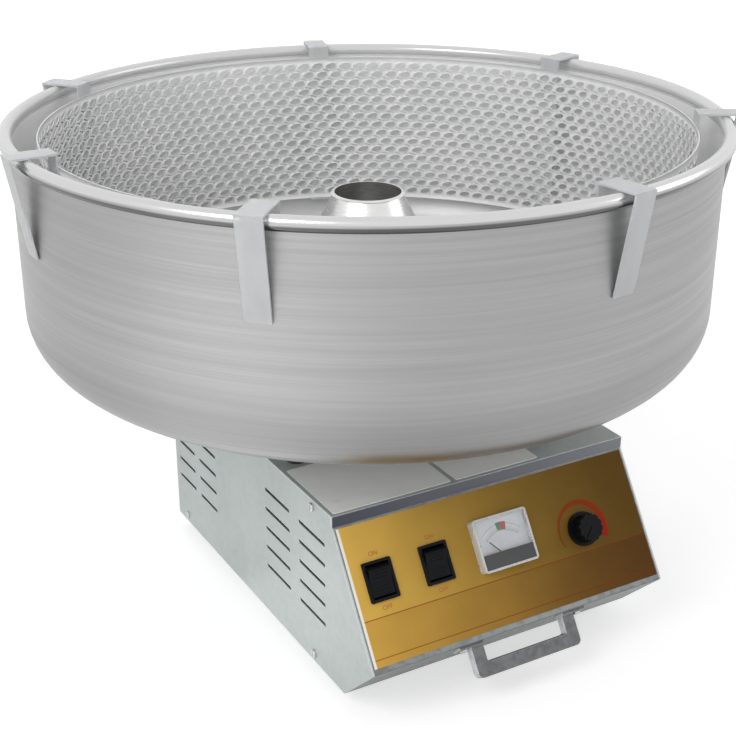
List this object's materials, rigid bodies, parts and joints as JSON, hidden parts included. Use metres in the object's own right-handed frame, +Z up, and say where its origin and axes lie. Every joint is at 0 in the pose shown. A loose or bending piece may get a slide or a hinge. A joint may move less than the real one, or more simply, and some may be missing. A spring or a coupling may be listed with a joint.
{
  "type": "electric candy-floss machine",
  "caption": "Table-top electric candy-floss machine: round metal bowl with a plastic net ring, heated spinner head and a sloped control cabinet.",
  "frame": {"origin": "On the floor, under the spinner axis, which is the centre of the bowl and of its box", "axes": "+Z up along the spinner axis, -Y towards the sloped control panel, +X to the right of someone who faces the panel"},
  "size_m": [0.6683, 0.6664, 0.4584],
  "materials": {
    "cabinet_steel": "satin, silver grey",
    "zinc_steel": "zinc plated",
    "bowl_aluminium": "spun, fine rings, polished rim",
    "head_aluminium": "turned, bright",
    "net_plastic": "white, slightly translucent",
    "clip_plastic": "frosted clear",
    "post_paint": "satin black",
    "rubber_black": "matte",
    "overlay_film": "gold film, orange towards the right and below, two thin red lines",
    "label_film": "white, blank",
    "strip_film": "yellow, blank",
    "black_plastic": "fine texture",
    "clear_plastic": "clear, milky at the edges",
    "grey_plastic": "fine texture",
    "dial_white": "white, plain scale",
    "needle_black": "matte",
    "handle_steel": "satin, dark grey",
    "shaft_steel": "ground",
    "motor_paint": "satin",
    "copper": "enamelled wire",
    "brass": "turned",
    "carbon": "dull",
    "phenolic": "dull brown",
    "mica": "flaky, dull",
    "heater_alloy": "heat tinted",
    "white_plastic": "satin",
    "wire_red": "insulated wire"
  },
  "bodies": {
    "base": {"bottom_plate": "cabinet_steel", "top_cover": "cabinet_steel", "left_side_panel": "cabinet_steel", "right_side_panel": "cabinet_steel", "back_panel": "cabinet_steel", "control_panel": "cabinet_steel", "chin_panel": "cabinet_steel", "panel_overlay": "overlay_film", "cabinet_screws": "zinc_steel", "handle": "handle_steel", "feet": "rubber_black", "foot_bolts": "zinc_steel", "label_plate_left": "label_film", "label_plate_right": "label_film", "label_strip": "strip_film", "cord_gland": "black_plastic", "support_posts": "post_paint", "post_washers": "zinc_steel", "post_pads": "rubber_black", "post_bolts": "zinc_steel", "air_shroud": "cabinet_steel", "motor_bearings": "shaft_steel", "motor_end_bells": "motor_paint", "motor_shell": "motor_paint", "stator": "copper", "motor_mount_plate": "zinc_steel", "motor_isolators": "rubber_black", "motor_bolts": "zinc_steel", "brush_holder": "phenolic", "brushes": "carbon", "power_switch_body": "black_plastic", "heat_switch_body": "black_plastic", "meter_case": "clear_plastic", "meter_dial": "dial_white", "meter_lens": "clear_plastic", "meter_strip": "grey_plastic", "heat_control": "black_plastic", "motor_capacitor": "white_plastic", "capacitor_saddle": "zinc_steel", "terminal_block": "white_plastic", "wiring": "wire_red"},
    "spinner": {"head_cap": "head_aluminium", "head_base_plate": "head_aluminium", "hub_set_screw": "zinc_steel", "head_insulators": "mica", "heater_ribbon": "heater_alloy", "head_bolts": "zinc_steel", "heater_terminals": "brass", "drive_shaft": "shaft_steel", "rotor": "shaft_steel", "motor_fan": "black_plastic", "slip_ring_hub": "phenolic", "slip_rings": "brass"},
    "bowl": {"bowl": "bowl_aluminium", "net_clips": "clip_plastic"},
    "net": {"floss_net": "net_plastic"},
    "power_rocker": {"power_rocker": "black_plastic"},
    "heat_rocker": {"heat_rocker": "black_plastic"},
    "heat_knob": {"heat_knob": "black_plastic"},
    "meter_needle": {"meter_needle": "needle_black"}
  },
  "joints": [
    {"name": "spinner_turn", "type": "hinge", "parent": "base", "child": "spinner", "pos_m": [0, 0, 0], "axis": [0, 0, 1], "continuous": true},
    {"name": "bowl_lift", "type": "slide", "parent": "base", "child": "bowl", "axis": [0, 0, 1], "range_m": [0, 0.17]},
    {"name": "net_lift", "type": "slide", "parent": "bowl", "child": "net", "axis": [0, 0, 1], "range_m": [0, 0.18]},
    {"name": "power_switch", "type": "hinge", "parent": "base", "child": "power_rocker", "pos_m": [-0.1223, -0.23261, 0.11979], "axis": [-1, 0, 0], "range_deg": [0, 20]},
    {"name": "heat_switch", "type": "hinge", "parent": "base", "child": "heat_rocker", "pos_m": [-0.0672, -0.23261, 0.11979], "axis": [-1, 0, 0], "range_deg": [0, 20]},
    {"name": "heat_knob_turn", "type": "hinge", "parent": "base", "child": "heat_knob", "pos_m": [0.0845, -0.24106, 0.11439], "axis": [0, 0.8296, -0.5584], "range_deg": [0, 270]},
    {"name": "meter_needle_swing", "type": "hinge", "parent": "base", "child": "meter_needle", "pos_m": [0, -0.24329, 0.11108], "axis": [0, 0.8296, -0.5584], "range_deg": [0, 80]}
  ],
  "couplings": [
    {"joint": "meter_needle_swing", "follows": "heat_knob_turn", "ratio": 0.2963}
  ]
}
